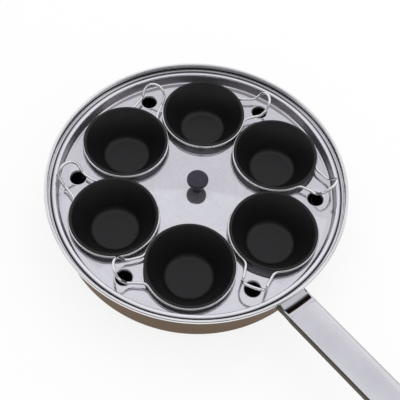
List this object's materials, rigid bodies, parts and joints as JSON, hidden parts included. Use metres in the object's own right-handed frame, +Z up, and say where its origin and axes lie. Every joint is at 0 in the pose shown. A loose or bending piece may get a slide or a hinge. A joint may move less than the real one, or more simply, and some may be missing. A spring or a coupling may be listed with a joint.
{
  "type": "egg poacher pan",
  "caption": "Steel saute pan with a long hollow handle, holding a lift-out tray with a centre knob and black egg cups, each in its own wire holder.",
  "frame": {"origin": "centre of the base's underside, on the surface that the pan stands on", "axes": "+Z up, +X along the handle away from the pan, +Y to the left of the handle"},
  "size_m": [0.4471, 0.26, 0.0934],
  "materials": {
    "pan_steel": "polished stainless steel inside and on the rim, with a brown outer wall",
    "core_aluminium": "plain aluminium",
    "base_steel": "turned stainless steel",
    "handle_steel": "satin stainless steel",
    "tray_steel": "mirror polished stainless steel",
    "knob_plastic": "dark grey phenolic, half gloss",
    "insert_brass": "turned brass",
    "fixing_steel": "plain stainless steel",
    "cup_coating": "black non-stick coating, satin",
    "wire_steel": "bright drawn steel wire"
  },
  "bodies": {
    "pan": {"pan_body": "pan_steel", "base_core": "core_aluminium", "base_cap": "base_steel", "handle_neck": "handle_steel", "handle_upper_shell": "handle_steel", "handle_lower_shell": "handle_steel", "hang_eyelet": "handle_steel"},
    "tray": {"insert_tray": "tray_steel", "knob": "knob_plastic", "knob_insert": "insert_brass", "knob_screw": "fixing_steel", "knob_washer": "fixing_steel"},
    "egg_cup_1": {"cup_1": "cup_coating", "cup_handle_1": "wire_steel"},
    "egg_cup_2": {"cup_2": "cup_coating", "cup_handle_2": "wire_steel"},
    "egg_cup_3": {"cup_3": "cup_coating", "cup_handle_3": "wire_steel"},
    "egg_cup_4": {"cup_4": "cup_coating", "cup_handle_4": "wire_steel"},
    "egg_cup_5": {"cup_5": "cup_coating", "cup_handle_5": "wire_steel"},
    "egg_cup_6": {"cup_6": "cup_coating", "cup_handle_6": "wire_steel"}
  },
  "joints": [
    {"name": "tray_lift", "type": "slide", "parent": "pan", "child": "tray", "axis": [0, 0, 1], "range_m": [0, 0.08]},
    {"name": "cup_1_lift", "type": "slide", "parent": "tray", "child": "egg_cup_1", "axis": [0, 0, 1], "range_m": [0, 0.06]},
    {"name": "cup_2_lift", "type": "slide", "parent": "tray", "child": "egg_cup_2", "axis": [0, 0, 1], "range_m": [0, 0.06]},
    {"name": "cup_3_lift", "type": "slide", "parent": "tray", "child": "egg_cup_3", "axis": [0, 0, 1], "range_m": [0, 0.06]},
    {"name": "cup_4_lift", "type": "slide", "parent": "tray", "child": "egg_cup_4", "axis": [0, 0, 1], "range_m": [0, 0.06]},
    {"name": "cup_5_lift", "type": "slide", "parent": "tray", "child": "egg_cup_5", "axis": [0, 0, 1], "range_m": [0, 0.06]},
    {"name": "cup_6_lift", "type": "slide", "parent": "tray", "child": "egg_cup_6", "axis": [0, 0, 1], "range_m": [0, 0.06]}
  ]
}
